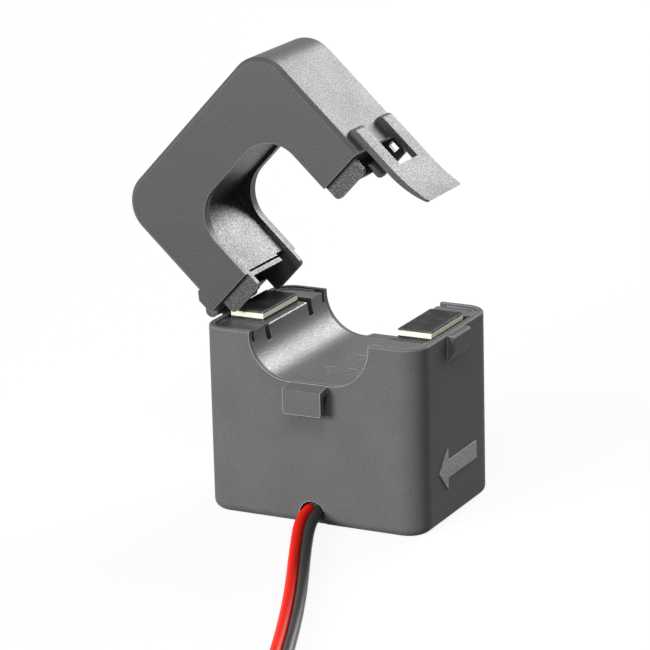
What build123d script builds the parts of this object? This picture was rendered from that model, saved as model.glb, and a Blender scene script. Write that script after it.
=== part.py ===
from build123d import *
import math
import os

os.makedirs("parts", exist_ok=True)

# Split-core current transformer with a hinged upper half, shown open.
# Millimetres, +Z up. The origin is the middle of the lower housing's underside,
# +Y runs along the conductor's axis to the rear, and the hinge is on the -X side.
# The upper half and its latch are drawn closed, then turned to the open angle.

# Lower housing
body_w = 45.0
body_d = 32.2
body_h = 36.2
corner_r = 4.6
shell_wall = 1.1
floor_t = 1.5
edge_break = 1.8
rim_break = 0.25

# Conductor window, shared by both halves
window_w = 24.6
trough_depth = 8.6
trough_r = 8.0
window_rise = 15.4
window_r = 7.0

# Lower carrier
carrier_t = 1.5
carrier_inset = 0.2
border_w = 0.9
border_h = 0.15
centre_drop = 0.6

# Upper half
lid_d = 20.2
lid_h = 27.5
lid_r = 6.5
lid_wall = 1.1
lid_face_t = 0.95
face_edge = 0.8
mate_gap = 0.1
open_angle = 46.8

# Hinge
hinge_out = 1.9
hinge_up = 0.6
knuckle_r = 1.3
pin_r = 0.7
pin_clearance = 0.05
knuckle_half = 3.8
knuckle_gap = 0.25
knuckle_end = 8.0
boss_out = 1.2
boss_rise = 3.2
boss_slope = 1.4

# Magnetic core
leg_inset = 1.7
leg_side_gap = 0.6
leg_d = 14.0
pole_rise = 1.2
air_gap = 0.1
bar_t = 7.0
core_r = 2.0
collar_h = 0.9
collar_t = 0.5
pole_cap = 0.4
pole_break = 0.15

# Tongue-and-groove skirts around the poles
skirt_drop = 3.3
skirt_t = 1.0
skirt_end_gap = 0.9
skirt_corner = 1.0
slot_depth = 4.2
slot_clear = 0.4
slot_end_clear = 0.5

# Latch
latch_half = 7.0
arm_in = 3.8
arm_out = 7.4
arm_t = 1.5
arm_rise = 4.3
latch_clear = 0.25
latch_reach = 15.1
tip_out = 2.5
tip_t = 0.55
catch_half = 3.7
catch_out = 1.4
catch_inset = 0.3
catch_h = 4.7

# Winding
bobbin_wall = 0.9
flange_t = 1.0
flange_d = 25.6
winding_margin = 0.9
tape_t = 0.25
winding_clear = 0.5

# Leads
lead_d = 2.1
lead_pitch = 2.2
splice_d = 2.6
splice_len = 8.0
grip_w = 8.4
grip_h = 4.6
grip_d = 2.0
notch_half = 2.65
notch_h = 4.7
coil_r = 12.0
coil_columns = 6
coil_layers = 4
coil_pitch = 2.15
coil_room = 0.1
coil_centre = (14.5, -122.3)

cavity_w = body_w - 2 * shell_wall
cavity_d = body_d - 2 * shell_wall
cavity_r = corner_r - shell_wall
half_window = window_w / 2
trough_z = body_h - trough_depth
mate_z = body_h + mate_gap
lid_top = mate_z + lid_h
window_top = mate_z + window_rise
skirt_y = lid_d / 2 - lid_face_t
skirt_x = cavity_w / 2 - skirt_end_gap
leg_x = half_window + leg_inset
leg_w = cavity_w / 2 - leg_side_gap - leg_x
leg_mid = leg_x + leg_w / 2
pole_z = body_h + pole_rise
hinge_x = -(body_w / 2 + hinge_out)
hinge_z = body_h + hinge_up
hinge_axis = Axis((hinge_x, 0, hinge_z), (0, -1, 0))


def window_face(end_z, mouth_z, radius):
    """One half of the window in X and Z, rounded at end_z and open at mouth_z."""
    up = 1 if mouth_z > end_z else -1
    bend_z = end_z + up * radius
    flat = half_window - radius
    with BuildSketch(Plane.XZ) as window:
        with BuildLine():
            Line((-half_window, mouth_z), (-half_window, bend_z))
            RadiusArc((-half_window, bend_z), (-flat, end_z), -up * radius)
            Line((-flat, end_z), (flat, end_z))
            RadiusArc((flat, end_z), (half_window, bend_z), -up * radius)
            Line((half_window, bend_z), (half_window, mouth_z))
            Line((half_window, mouth_z), (-half_window, mouth_z))
        make_face()
    return window.sketch


def cut_window(end_z, mouth_z, radius):
    """Cuts that half of the window right through the active part, front to rear."""
    extrude(window_face(end_z, mouth_z, radius), amount=body_d, both=True, mode=Mode.SUBTRACT)


def opened(part, label):
    """The part turned about the hinge from closed to the open angle, and labelled."""
    turned = part.rotate(hinge_axis, open_angle)
    turned.label = label
    return turned


# Lower housing: a thin shell, open at the top, with the window cut through its front
# and rear walls, a tie tab under each cut, the latch's catch, the middle hinge knuckle,
# a raised direction arrow and the arched notch that the leads leave by.
tab_half = 3.9
tab_out = 3.2
tab_t = 1.2
tab_h = 5.2
tab_slope = 0.45
tab_root = 0.3
tab_corner = 0.5
knuckle_web = 4.2
arrow_z = 10.4
arrow_t = 0.2
arrow_tip = 8.2
arrow_neck = 4.4
arrow_half = 4.0
shaft_half = 1.7
catch_top = body_h - catch_inset
catch_low = catch_top - catch_h
catch_break = 0.3
catch_slope_w = 1.0
catch_slope_h = 1.6
catch_round = 0.35
knuckle_foot = 0.7 * knuckle_r
knuckle_side = 0.6 * knuckle_r
side_x = body_w / 2
web_x = -side_x + shell_wall / 2

with BuildPart() as lower_housing:
    with BuildSketch(Plane.XY):
        RectangleRounded(body_w, body_d, corner_r)
    extrude(amount=body_h)
    fillet(lower_housing.faces().sort_by(Axis.Z)[0].edges(), edge_break)
    chamfer(lower_housing.faces().sort_by(Axis.Z)[-1].edges(), rim_break)
    with BuildSketch(Plane.XY.offset(floor_t)):
        RectangleRounded(cavity_w, cavity_d, cavity_r)
    extrude(amount=body_h, mode=Mode.SUBTRACT)
    cut_window(trough_z, mate_z + 1, trough_r)
    with BuildSketch(Plane.XZ.offset(cavity_d / 2 - 0.5)):
        with BuildLine():
            Line((-notch_half, -1), (-notch_half, notch_h - notch_half))
            RadiusArc((-notch_half, notch_h - notch_half), (notch_half, notch_h - notch_half), notch_half)
            Line((notch_half, notch_h - notch_half), (notch_half, -1))
            Line((notch_half, -1), (-notch_half, -1))
        make_face()
    extrude(amount=shell_wall + 1, mode=Mode.SUBTRACT)
    for side in (-1, 1):
        y0 = side * (body_d / 2 - tab_root)
        y1 = side * (body_d / 2 + tab_out - tab_t)
        y2 = side * (body_d / 2 + tab_out)
        with BuildSketch(Plane.YZ.offset(-tab_half)):
            with BuildLine():
                Polyline(
                    (y0, trough_z),
                    (y2, trough_z - tab_slope),
                    (y2, trough_z - tab_h),
                    (y1, trough_z - tab_h),
                    (y1, trough_z - tab_t - tab_slope),
                    (y0, trough_z - tab_t),
                    close=True,
                )
            make_face()
        extrude(amount=2 * tab_half)
    lips = lower_housing.edges().filter_by(Axis.Y).group_by(Axis.Z)
    fillet([e for g in lips for e in g if abs(e.center().Z - trough_z + tab_h) < 0.01], tab_corner)
    fillet(
        [
            e
            for e in lower_housing.edges().filter_by(Axis.X)
            if abs(abs(e.center().Y) - body_d / 2 - tab_out) < 0.01 and e.center().Z > trough_z - 1
        ],
        rim_break,
    )
    with BuildSketch(Plane.XZ.offset(-catch_half)):
        with BuildLine():
            Polyline(
                (side_x - tab_root, catch_top),
                (side_x + catch_out - catch_break, catch_top),
                (side_x + catch_out, catch_top - catch_break),
                (side_x + catch_out, catch_low + catch_slope_h),
                (side_x + catch_out - catch_slope_w, catch_low),
                (side_x - tab_root, catch_low),
                close=True,
            )
        make_face()
    extrude(amount=2 * catch_half)
    proud = lower_housing.edges().filter_by(Axis.Z)
    fillet([e for e in proud if abs(e.center().X - side_x - catch_out) < 0.01], catch_round)
    with BuildSketch(Plane.XZ.offset(-knuckle_half)):
        with Locations((hinge_x, hinge_z)):
            Circle(knuckle_r)
        with BuildLine():
            Polyline(
                (hinge_x - knuckle_foot, hinge_z - knuckle_foot),
                (-side_x + catch_break, body_h - knuckle_web),
                (web_x, body_h - knuckle_web),
                (web_x, body_h - 2 * rim_break),
                (hinge_x + knuckle_side, hinge_z - knuckle_side / 2),
                close=True,
            )
        make_face()
    extrude(amount=2 * knuckle_half)
    with BuildSketch(Plane.XZ):
        with Locations((hinge_x, hinge_z)):
            Circle(pin_r)
    extrude(amount=knuckle_half + 1, both=True, mode=Mode.SUBTRACT)
    with BuildSketch(Plane.YZ.offset(side_x - shell_wall / 2)):
        with Locations((0, arrow_z)):
            Polygon(
                (-arrow_tip, 0),
                (-arrow_neck, -arrow_half),
                (-arrow_neck, -shaft_half),
                (arrow_tip, -shaft_half),
                (arrow_tip, shaft_half),
                (-arrow_neck, shaft_half),
                (-arrow_neck, arrow_half),
                align=None,
            )
    extrude(amount=shell_wall / 2 + arrow_t)
lower_housing.part.label = "lower_housing"
export_step(lower_housing.part, "parts/lower_housing.step")

# Lower carrier: the insert that fills the shell's mouth. It holds the core's legs,
# lines the trough, and has the grooves that the upper half's skirts drop into.
carrier_low = trough_z - carrier_t
carrier_top = body_h - carrier_inset
centre_top = body_h - centre_drop
centre_half = skirt_y - skirt_t - slot_clear
slot_out = skirt_y + slot_clear
slot_mid = (centre_half + slot_out) / 2
slot_x = skirt_x + slot_end_clear
relief_depth = 2.4
relief_w = 1.4
tongue_half = 6.0
tongue_low = centre_top - 1.0
tongue_clear = 0.35
mark_t = 0.06
mark_line = 0.22
mark_x = 1.2
mark_root = 0.3
mark_tip = 9.4
mark_neck = 4.6
mark_tail = 4.0
mark_half = 3.6
mark_shaft = 1.4
lip_break = 0.2


def mark_outline(inset):
    """The trough's arrow as a sketch, drawn in by inset all round."""
    with BuildSketch(Plane.XY) as arrow:
        Polygon(
            (0, -mark_tip),
            (mark_half, -mark_neck),
            (mark_shaft, -mark_neck),
            (mark_shaft, mark_tail),
            (-mark_shaft, mark_tail),
            (-mark_shaft, -mark_neck),
            (-mark_half, -mark_neck),
            align=None,
        )
        if inset:
            offset(amount=-inset, kind=Kind.INTERSECTION, mode=Mode.REPLACE)
    return arrow.sketch


with BuildPart() as lower_carrier:
    with BuildSketch(Plane.XY.offset(carrier_low)):
        RectangleRounded(cavity_w, cavity_d, cavity_r)
    extrude(amount=carrier_top - carrier_low)
    chamfer(lower_carrier.faces().sort_by(Axis.Z)[-1].edges(), lip_break)
    with BuildSketch(Plane.XY.offset(carrier_top - border_h)):
        RectangleRounded(cavity_w - 2 * border_w, cavity_d - 2 * border_w, cavity_r - border_w)
    extrude(amount=border_h + 1, mode=Mode.SUBTRACT)
    cut_window(trough_z, mate_z + 1, trough_r)
    for side in (-1, 1):
        with BuildSketch(Plane.XY.offset(carrier_low - 1)):
            with Locations((side * leg_mid, 0)):
                Rectangle(leg_w, leg_d)
        extrude(amount=body_h, mode=Mode.SUBTRACT)
        with BuildSketch(Plane.XY.offset(centre_top)):
            with Locations((side * (half_window + slot_x) / 2, 0)):
                Rectangle(slot_x - half_window + 1, 2 * slot_mid)
        extrude(amount=centre_drop + 1, mode=Mode.SUBTRACT)
        for front in (-1, 1):
            with BuildSketch(Plane.XY.offset(body_h - slot_depth)):
                with Locations((side * (half_window + slot_x) / 2, front * slot_mid)):
                    Rectangle(slot_x - half_window + 1, slot_out - centre_half)
            extrude(amount=slot_depth + 1, mode=Mode.SUBTRACT)
            with BuildSketch(Plane.XY.offset(body_h - relief_depth)):
                with Locations((side * (half_window + relief_w / 2), front * (cavity_d - border_w) / 2)):
                    Rectangle(relief_w + 1, relief_w)
            extrude(amount=relief_depth + 1, mode=Mode.SUBTRACT)
    with BuildSketch(Plane.XY.offset(tongue_low - tongue_clear)):
        with Locations(((half_window + leg_x) / 2, 0)):
            Rectangle(leg_inset + 1, 2 * (tongue_half + tongue_clear))
    extrude(amount=centre_drop + body_h, mode=Mode.SUBTRACT)
    lips = lower_carrier.edges().filter_by(Axis.X) + lower_carrier.edges().filter_by(Axis.Y)
    chamfer(
        [
            e
            for e in lips
            if abs(e.center().Z - centre_top) < 0.01
            and (abs(abs(e.center().Y) - centre_half) < 0.01 or abs(abs(e.center().X) - half_window) < 0.01)
        ],
        lip_break,
    )
    with BuildSketch(Plane.XY.offset(trough_z - mark_root)):
        with Locations((mark_x, 0)):
            add(mark_outline(0))
            add(mark_outline(mark_line), mode=Mode.SUBTRACT)
    extrude(amount=mark_root + mark_t)
lower_carrier.part.label = "lower_carrier"
export_step(lower_carrier.part, "parts/lower_carrier.step")


# Magnetic core: one U in each half, with ground pole faces and a pale collar
# round each leg just under the face.
def core_half(bar_low, pole):
    """A U of core material in the active part, its bar at bar_low and its legs ending at pole."""
    low, high = min(bar_low, pole), max(bar_low + bar_t, pole)
    with BuildSketch(Plane.XZ) as outline:
        Polygon(
            (-leg_x - leg_w, low),
            (leg_x + leg_w, low),
            (leg_x + leg_w, high),
            (-leg_x - leg_w, high),
            align=None,
        )
        inner_low, inner_high = (bar_low + bar_t, high + 1) if pole > bar_low else (low - 1, bar_low)
        Polygon(
            (-leg_x, inner_low),
            (leg_x, inner_low),
            (leg_x, inner_high),
            (-leg_x, inner_high),
            align=None,
            mode=Mode.SUBTRACT,
        )
    return extrude(outline.sketch, amount=leg_d / 2, both=True)


def collar_ring(low):
    """The band of a collar round each leg, as a sketch's two loops at height low."""
    with BuildSketch(Plane.XY.offset(low)) as band:
        with Locations((-leg_mid, 0), (leg_mid, 0)):
            Rectangle(leg_w, leg_d)
            Rectangle(leg_w - 2 * collar_t, leg_d - 2 * collar_t, mode=Mode.SUBTRACT)
    return band.sketch


def cut_collars(low):
    """The grooves in both legs of the active part that the collars sit in."""
    extrude(collar_ring(low), amount=collar_h, mode=Mode.SUBTRACT)


def break_poles(core, pole):
    """A fine edge round each ground pole face."""
    chamfer([e for e in core.edges() if abs(e.center().Z - pole) < 0.01], pole_break)


winding_low = floor_t + grip_h + winding_clear / 2
winding_high = carrier_low - winding_clear
flange_h = winding_high - winding_low
bar_mid = (winding_low + winding_high) / 2
lower_bar_z = bar_mid - bar_t / 2
lower_collar_z = pole_z - pole_cap - collar_h
upper_pole_z = pole_z + air_gap
upper_collar_z = upper_pole_z + pole_cap
liner_side = 0.8
liner_top = 0.7
leg_clear = 0.25
bar_clear = 0.35
retainer_t = leg_inset - liner_side - leg_clear
upper_bar_z = window_top + liner_top + retainer_t + bar_clear
upper_bar_top = upper_bar_z + bar_t

with BuildPart() as lower_core:
    core_half(lower_bar_z, pole_z)
    fillet(lower_core.edges().filter_by(Axis.Y).group_by(Axis.Z)[0], core_r)
    break_poles(lower_core, pole_z)
    cut_collars(lower_collar_z)
lower_core.part.label = "lower_core"
export_step(lower_core.part, "parts/lower_core.step")

with BuildPart() as upper_core:
    core_half(upper_bar_z, upper_pole_z)
    fillet(upper_core.edges().filter_by(Axis.Y).group_by(Axis.Z)[-1], core_r)
    break_poles(upper_core, upper_pole_z)
    cut_collars(upper_collar_z)
export_step(opened(upper_core.part, "upper_core"), "parts/upper_core.step")


def collar(x, low):
    """One collar in the active part, flush with its leg."""
    with BuildSketch(Plane.XY.offset(low)) as band:
        with Locations((x, 0)):
            Rectangle(leg_w, leg_d)
            Rectangle(leg_w - 2 * collar_t, leg_d - 2 * collar_t, mode=Mode.SUBTRACT)
    extrude(band.sketch, amount=collar_h)


with BuildPart() as lower_collar_left:
    collar(-leg_mid, lower_collar_z)
lower_collar_left.part.label = "lower_collar_left"
export_step(lower_collar_left.part, "parts/lower_collar_left.step")

with BuildPart() as lower_collar_right:
    collar(leg_mid, lower_collar_z)
lower_collar_right.part.label = "lower_collar_right"
export_step(lower_collar_right.part, "parts/lower_collar_right.step")

with BuildPart() as upper_collar_left:
    collar(-leg_mid, upper_collar_z)
export_step(opened(upper_collar_left.part, "upper_collar_left"), "parts/upper_collar_left.step")

with BuildPart() as upper_collar_right:
    collar(leg_mid, upper_collar_z)
export_step(opened(upper_collar_right.part, "upper_collar_right"), "parts/upper_collar_right.step")

# Winding: a bobbin on the lower core's bar, the secondary coil and its tape.
tube_h = bar_t + 2 * bobbin_wall
tube_d = leg_d + 2 * bobbin_wall
tube_corner = 0.6
wound_len = 2 * (leg_x - flange_t)
wound_d = flange_d - 2 * winding_margin
wound_h = flange_h - 2 * winding_margin
wound_corner = 3.0
flange_corner = 1.5


def sleeve(length, outer, inner):
    """A sleeve along X round the core's bar, its corners cut off; each size is (Y, Z, corner)."""
    with BuildSketch(Plane.YZ) as section:
        with Locations((0, bar_mid)):
            Rectangle(outer[0], outer[1])
            chamfer(section.vertices(), outer[2])
    with BuildSketch(Plane.YZ) as hole:
        with Locations((0, bar_mid)):
            Rectangle(inner[0], inner[1])
            if inner[2] > 0:
                chamfer(hole.vertices(), inner[2])
    return extrude(section.sketch - hole.sketch, amount=length / 2, both=True)


with BuildPart() as bobbin:
    sleeve(2 * leg_x, (tube_d, tube_h, tube_corner), (leg_d, bar_t, 0))
    for side in (-1, 1):
        with BuildSketch(Plane.YZ.offset(side * leg_x)) as flange:
            with Locations((0, bar_mid)):
                Rectangle(flange_d, flange_h)
                chamfer(flange.vertices(), flange_corner)
                Rectangle(leg_d, bar_t, mode=Mode.SUBTRACT)
        extrude(amount=-side * flange_t)
bobbin.part.label = "bobbin"
export_step(bobbin.part, "parts/bobbin.step")

with BuildPart() as secondary_winding:
    sleeve(wound_len, (wound_d, wound_h, wound_corner), (tube_d, tube_h, tube_corner))
secondary_winding.part.label = "secondary_winding"
export_step(secondary_winding.part, "parts/secondary_winding.step")

with BuildPart() as winding_tape:
    sleeve(
        wound_len,
        (wound_d + 2 * tape_t, wound_h + 2 * tape_t, wound_corner + tape_t),
        (wound_d, wound_h, wound_corner),
    )
winding_tape.part.label = "winding_tape"
export_step(winding_tape.part, "parts/winding_tape.step")


# Upper housing: the cover, with the window cut through both faces, rounded top
# corners, softened face edges and the two outer hinge knuckles on their bosses.
boss_foot = 0.6
boss_x = -side_x - boss_out
boss_top = mate_z + boss_rise
root_x = -side_x + lid_wall / 2
cut_over = 5.0


def cover_face(inset):
    """The cover's outline in X and Z, drawn in by inset, its lower edge left open below."""
    half = side_x - inset
    top = lid_top - inset
    radius = lid_r - inset
    low = mate_z - inset
    with BuildSketch(Plane.XZ) as outline:
        with BuildLine():
            Line((-half, low), (-half, top - radius))
            RadiusArc((-half, top - radius), (-half + radius, top), radius)
            Line((-half + radius, top), (half - radius, top))
            RadiusArc((half - radius, top), (half, top - radius), radius)
            Line((half, top - radius), (half, low))
            Line((half, low), (-half, low))
        make_face()
    return outline.sketch


with BuildPart() as upper_housing:
    extrude(cover_face(0), amount=lid_d / 2, both=True)
    rim = [
        e
        for e in upper_housing.edges()
        if abs(abs(e.center().Y) - lid_d / 2) < 0.01 and e.center().Z > mate_z + 0.1
    ]
    chamfer(rim, face_edge)
    extrude(cover_face(lid_wall), amount=skirt_y, both=True, mode=Mode.SUBTRACT)
    cut_window(window_top, mate_z - cut_over, window_r)
    for side in (-1, 1):
        y_in = side * (knuckle_half + knuckle_gap)
        with BuildSketch(Plane.XZ.offset(-y_in)):
            Polygon(
                (root_x, mate_z),
                (boss_x + rim_break, mate_z),
                (boss_x, mate_z + boss_foot),
                (boss_x, boss_top),
                (-side_x, boss_top + boss_slope),
                (root_x, boss_top + boss_slope),
                align=None,
            )
        extrude(amount=-side * (lid_d / 2 - knuckle_half - knuckle_gap))
        with BuildSketch(Plane.XZ.offset(-y_in)):
            with Locations((hinge_x, hinge_z)):
                Circle(knuckle_r)
            Polygon(
                (hinge_x, hinge_z - knuckle_foot),
                (-side_x - boss_out / 2, mate_z),
                (-side_x - boss_out / 2, boss_top),
                (hinge_x - knuckle_foot, hinge_z + knuckle_side),
                align=None,
            )
        extrude(amount=-side * (knuckle_end - knuckle_half - knuckle_gap))
    with BuildSketch(Plane.XZ):
        with Locations((hinge_x, hinge_z)):
            Circle(pin_r + pin_clearance)
    extrude(amount=knuckle_end, both=True, mode=Mode.SUBTRACT)
export_step(opened(upper_housing.part, "upper_housing"), "parts/upper_housing.step")

# Upper retainer: the insert that lines the upper window and holds the upper core.
# Its front and rear plates run on below the cover as the skirts, its window walls end
# in a sill bar under a slot, and the rear skirt has a keyhole beside the latch.
wall_x = half_window + liner_side
wall_top = window_top + liner_top
plate_top = wall_top + retainer_t
skirt_low = mate_z - skirt_drop
ledge_low = centre_top + 0.1
ledge_top = mate_z + 0.3
ledge_end = 4.8
wall_low = ledge_top + 0.45
step_top = mate_z + 1.2
plate_in = skirt_y - skirt_t
wall_mid = wall_x + retainer_t / 2
keyhole_w = 1.3
keyhole_h = 1.9
keyhole_x = skirt_x - keyhole_w
keyhole_z = mate_z - keyhole_h / 2


def trim_walls(x, y_low, y_high, z_low, z_high):
    """Cuts a piece out of the active part's window wall at x, between the given Y and Z."""
    with BuildSketch(Plane.XY.offset(z_low)) as piece:
        with Locations((x, (y_low + y_high) / 2)):
            Rectangle(2 * retainer_t, y_high - y_low)
    extrude(piece.sketch, amount=z_high - z_low, mode=Mode.SUBTRACT)


with BuildPart() as upper_retainer:
    for side in (-1, 1):
        with BuildSketch(Plane.XZ.offset(-side * skirt_y)):
            with Locations((0, (skirt_low + plate_top) / 2)):
                Rectangle(2 * skirt_x, plate_top - skirt_low)
        extrude(amount=side * skirt_t)
    with BuildSketch(Plane.XZ):
        with Locations((0, (tongue_low + plate_top) / 2)):
            Rectangle(2 * (wall_x + retainer_t), plate_top - tongue_low)
        with Locations((0, (tongue_low - 1 + wall_top) / 2)):
            Rectangle(2 * wall_x, wall_top - tongue_low + 1, mode=Mode.SUBTRACT)
    extrude(amount=plate_in, both=True)
    cut_window(window_top, skirt_low - 2, window_r)
    feet = upper_retainer.edges().filter_by(Axis.Y).group_by(Axis.Z)[0]
    fillet(feet, skirt_corner)
    trim_walls(-wall_mid, -plate_in, plate_in, tongue_low, ledge_low)
    trim_walls(-wall_mid, -plate_in + 1, ledge_end, ledge_top, wall_low)
    trim_walls(-wall_mid, ledge_end, plate_in, ledge_low - 1, step_top)
    trim_walls(wall_mid, -plate_in, -tongue_half, tongue_low, mate_z)
    trim_walls(wall_mid, tongue_half, plate_in, tongue_low, mate_z)
    with BuildSketch(Plane.XZ.offset(-skirt_y - 1)):
        with Locations((keyhole_x, keyhole_z)):
            Rectangle(keyhole_w, keyhole_h)
    extrude(amount=skirt_t + 2, mode=Mode.SUBTRACT)
export_step(opened(upper_retainer.part, "upper_retainer"), "parts/upper_retainer.step")

# Leaf spring that presses the upper core down on the lower one.
spring_t = 0.3
spring_w = 9.0
spring_half = leg_x - 1
crown_half = 4.0
spring_foot = 2.0
crown_z = lid_top - lid_wall

with BuildPart() as core_spring:
    with BuildSketch(Plane.XZ):
        with BuildLine():
            Polyline(
                (-spring_half, upper_bar_top),
                (-spring_half + spring_foot, upper_bar_top),
                (-crown_half, crown_z - spring_t),
                (crown_half, crown_z - spring_t),
                (spring_half - spring_foot, upper_bar_top),
                (spring_half, upper_bar_top),
                (spring_half, upper_bar_top + spring_t),
                (spring_half - spring_foot, upper_bar_top + spring_t),
                (crown_half, crown_z),
                (-crown_half, crown_z),
                (-spring_half + spring_foot, upper_bar_top + spring_t),
                (-spring_half, upper_bar_top + spring_t),
                close=True,
            )
        make_face()
    extrude(amount=spring_w / 2, both=True)
export_step(opened(core_spring.part, "core_spring"), "parts/core_spring.step")

# Hinge pin, held in the lower housing's middle knuckle.
with BuildPart() as hinge_pin:
    with BuildSketch(Plane.XZ):
        with Locations((hinge_x, hinge_z)):
            Circle(pin_r)
    extrude(amount=knuckle_end - 0.1, both=True)
hinge_pin.part.label = "hinge_pin"
export_step(hinge_pin.part, "parts/hinge_pin.step")

# Latch: two arms on the cover's outer face that run on below it and join into a
# tongue with a curled end. The catch sits in the opening between the arms. It is the
# side profile, swept across, and trimmed to its outline as seen from the side it is on.
bar_gap = 0.75
bend_drop = 1.0
arm_break = 0.4
tip_bevel = 0.15
tongue_round = 1.0
arm_end_round = 0.7
arm_top = mate_z + arm_rise
bar_top = catch_low - latch_clear - bar_gap
tip_z = body_h - latch_reach
bend_z = bar_top - bend_drop
inner_x = side_x + latch_clear
outer_x = side_x + arm_t
tip_x = side_x + tip_out
arm_round = 1.2

with BuildPart() as latch:
    with BuildSketch(Plane.XZ):
        with BuildLine():
            Line((side_x, arm_top), (side_x, mate_z))
            Line((side_x, mate_z), (inner_x, mate_z - arm_break))
            Line((inner_x, mate_z - arm_break), (inner_x, bend_z))
            TangentArc((inner_x, bend_z), (tip_x - tip_t, tip_z + tip_bevel), tangent=(0, -1))
            Line((tip_x - tip_t, tip_z + tip_bevel), (tip_x, tip_z))
            TangentArc((outer_x, bend_z), (tip_x, tip_z), tangent=(0, -1))
            Line((outer_x, bend_z), (outer_x, arm_top - arm_round))
            RadiusArc((outer_x, arm_top - arm_round), (outer_x - arm_round, arm_top), -arm_round)
            Line((outer_x - arm_round, arm_top), (side_x, arm_top))
        make_face()
    extrude(amount=arm_out + 1, both=True)
    with BuildSketch(Plane.YZ.offset(side_x - 1)) as plan:
        Polygon(
            (-latch_half, tip_z - 0.1),
            (latch_half, tip_z - 0.1),
            (arm_out, bar_top),
            (arm_out, arm_top + 0.1),
            (-arm_out, arm_top + 0.1),
            (-arm_out, bar_top),
            align=None,
        )
        fillet(plan.vertices().group_by(Axis.Y)[0], tongue_round)
        with Locations((0, (bar_top + arm_top + 2) / 2)):
            Rectangle(2 * arm_in, arm_top + 2 - bar_top, mode=Mode.SUBTRACT)
        fillet(plan.vertices().group_by(Axis.Y)[-1], arm_end_round)
    extrude(amount=tip_out + 3, mode=Mode.INTERSECT)
export_step(opened(latch.part, "latch"), "parts/latch.step")

# Leads: a grip block behind the notch, two splice sleeves inside, and the leads
# themselves, which run over the bench and are coiled together out of the way.
lead_z = floor_t + splice_d / 2
lead_x = lead_pitch / 2
front_in = -cavity_d / 2
grip_back = front_in + grip_d
splice_x = splice_d / 2 + 0.05

with BuildPart() as lead_grip:
    with BuildSketch(Plane.XY.offset(floor_t)):
        with Locations((0, front_in + grip_d / 2)):
            Rectangle(grip_w, grip_d)
    extrude(amount=grip_h)
    with BuildSketch(Plane.XZ.offset(-front_in + 1)):
        with Locations((-lead_x, lead_z), (lead_x, lead_z)):
            Circle(lead_d / 2)
    extrude(amount=-grip_d - 2, mode=Mode.SUBTRACT)
lead_grip.part.label = "lead_grip"
export_step(lead_grip.part, "parts/lead_grip.step")


def splice(x):
    """A heat-shrink splice sleeve in the active part, lying on the housing's floor along Y."""
    with BuildSketch(Plane.XZ.offset(-grip_back)) as section:
        with Locations((x, floor_t + splice_d / 2)):
            Circle(splice_d / 2)
    extrude(section.sketch, amount=-splice_len)


with BuildPart() as splice_red:
    splice(-splice_x)
splice_red.part.label = "splice_red"
export_step(splice_red.part, "parts/splice_red.step")

with BuildPart() as splice_black:
    splice(splice_x)
splice_black.part.label = "splice_black"
export_step(splice_black.part, "parts/splice_black.step")

floor_z = lead_d / 2
outer_turn = coil_r + coil_pitch * (coil_columns - 1) / 2
coil_entry = (coil_centre[0] + outer_turn, coil_centre[1])
red_route = [
    (-lead_x, grip_back, lead_z),
    (-lead_x, -body_d / 2 - 2.4, lead_z),
    (3.3, -29.5, floor_z),
    (17.0, -58.6, floor_z),
    (coil_entry[0], -97.0, floor_z),
    (*coil_entry, floor_z),
]
black_route = [
    (lead_x, grip_back, lead_z),
    (lead_x, -body_d / 2 - 1.7, lead_z),
    (5.7, -29.5, floor_z),
    (19.4, -58.2, floor_z),
    (34.2, -95.6, floor_z),
    (33.9, -110.4, floor_z + coil_pitch),
    (*coil_entry, floor_z + coil_pitch),
]


def lead_tube(name, route):
    """One lead in the active part: straight runs joined by arcs, swept with its round section."""
    points = [Vector(*p) for p in route]
    radii = []
    for before, here, after in zip(points, points[1:], points[2:]):
        turn = (here - before).get_angle(after - here)
        run = min((here - before).length, (after - here).length)
        radii.append(0.45 * run / math.tan(math.radians(turn) / 2))
    with BuildLine() as path:
        FilletPolyline(*points, radius=radii)
    with BuildSketch(Plane(origin=path.line @ 0, z_dir=path.line % 0)) as section:
        Circle(lead_d / 2)
    sweep(section.sketch, path=path.wires()[0])
    length = sum(edge.length for edge in path.edges())
    print(name, "radii", [round(r, 1) for r in radii], "length", round(length, 1))
    return length * math.pi * lead_d**2 / 4


with BuildPart() as red_lead:
    red_expected = lead_tube("red", red_route)
red_lead.part.label = "red_lead"
export_step(red_lead.part, "parts/red_lead.step")

with BuildPart() as black_lead:
    black_expected = lead_tube("black", black_route)
black_lead.part.label = "black_lead"
export_step(black_lead.part, "parts/black_lead.step")
print("red tube's volume over section times length", round(red_lead.part.volume / red_expected, 4))
print("black tube's volume over section times length", round(black_lead.part.volume / black_expected, 4))

# The rest of both leads, wound together, as one closed ring of the neat coil's outer size.
coil_r_out = outer_turn + lead_d / 2 + coil_room
coil_r_in = 2 * coil_r - coil_r_out

with BuildPart() as lead_coil:
    with BuildSketch(Plane.XY):
        with Locations(coil_centre):
            Circle(coil_r_out)
            Circle(coil_r_in, mode=Mode.SUBTRACT)
    extrude(amount=coil_pitch * (coil_layers - 1) + lead_d + coil_room)
lead_coil.part.label = "lead_coil"
export_step(lead_coil.part, "parts/lead_coil.step")
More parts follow.
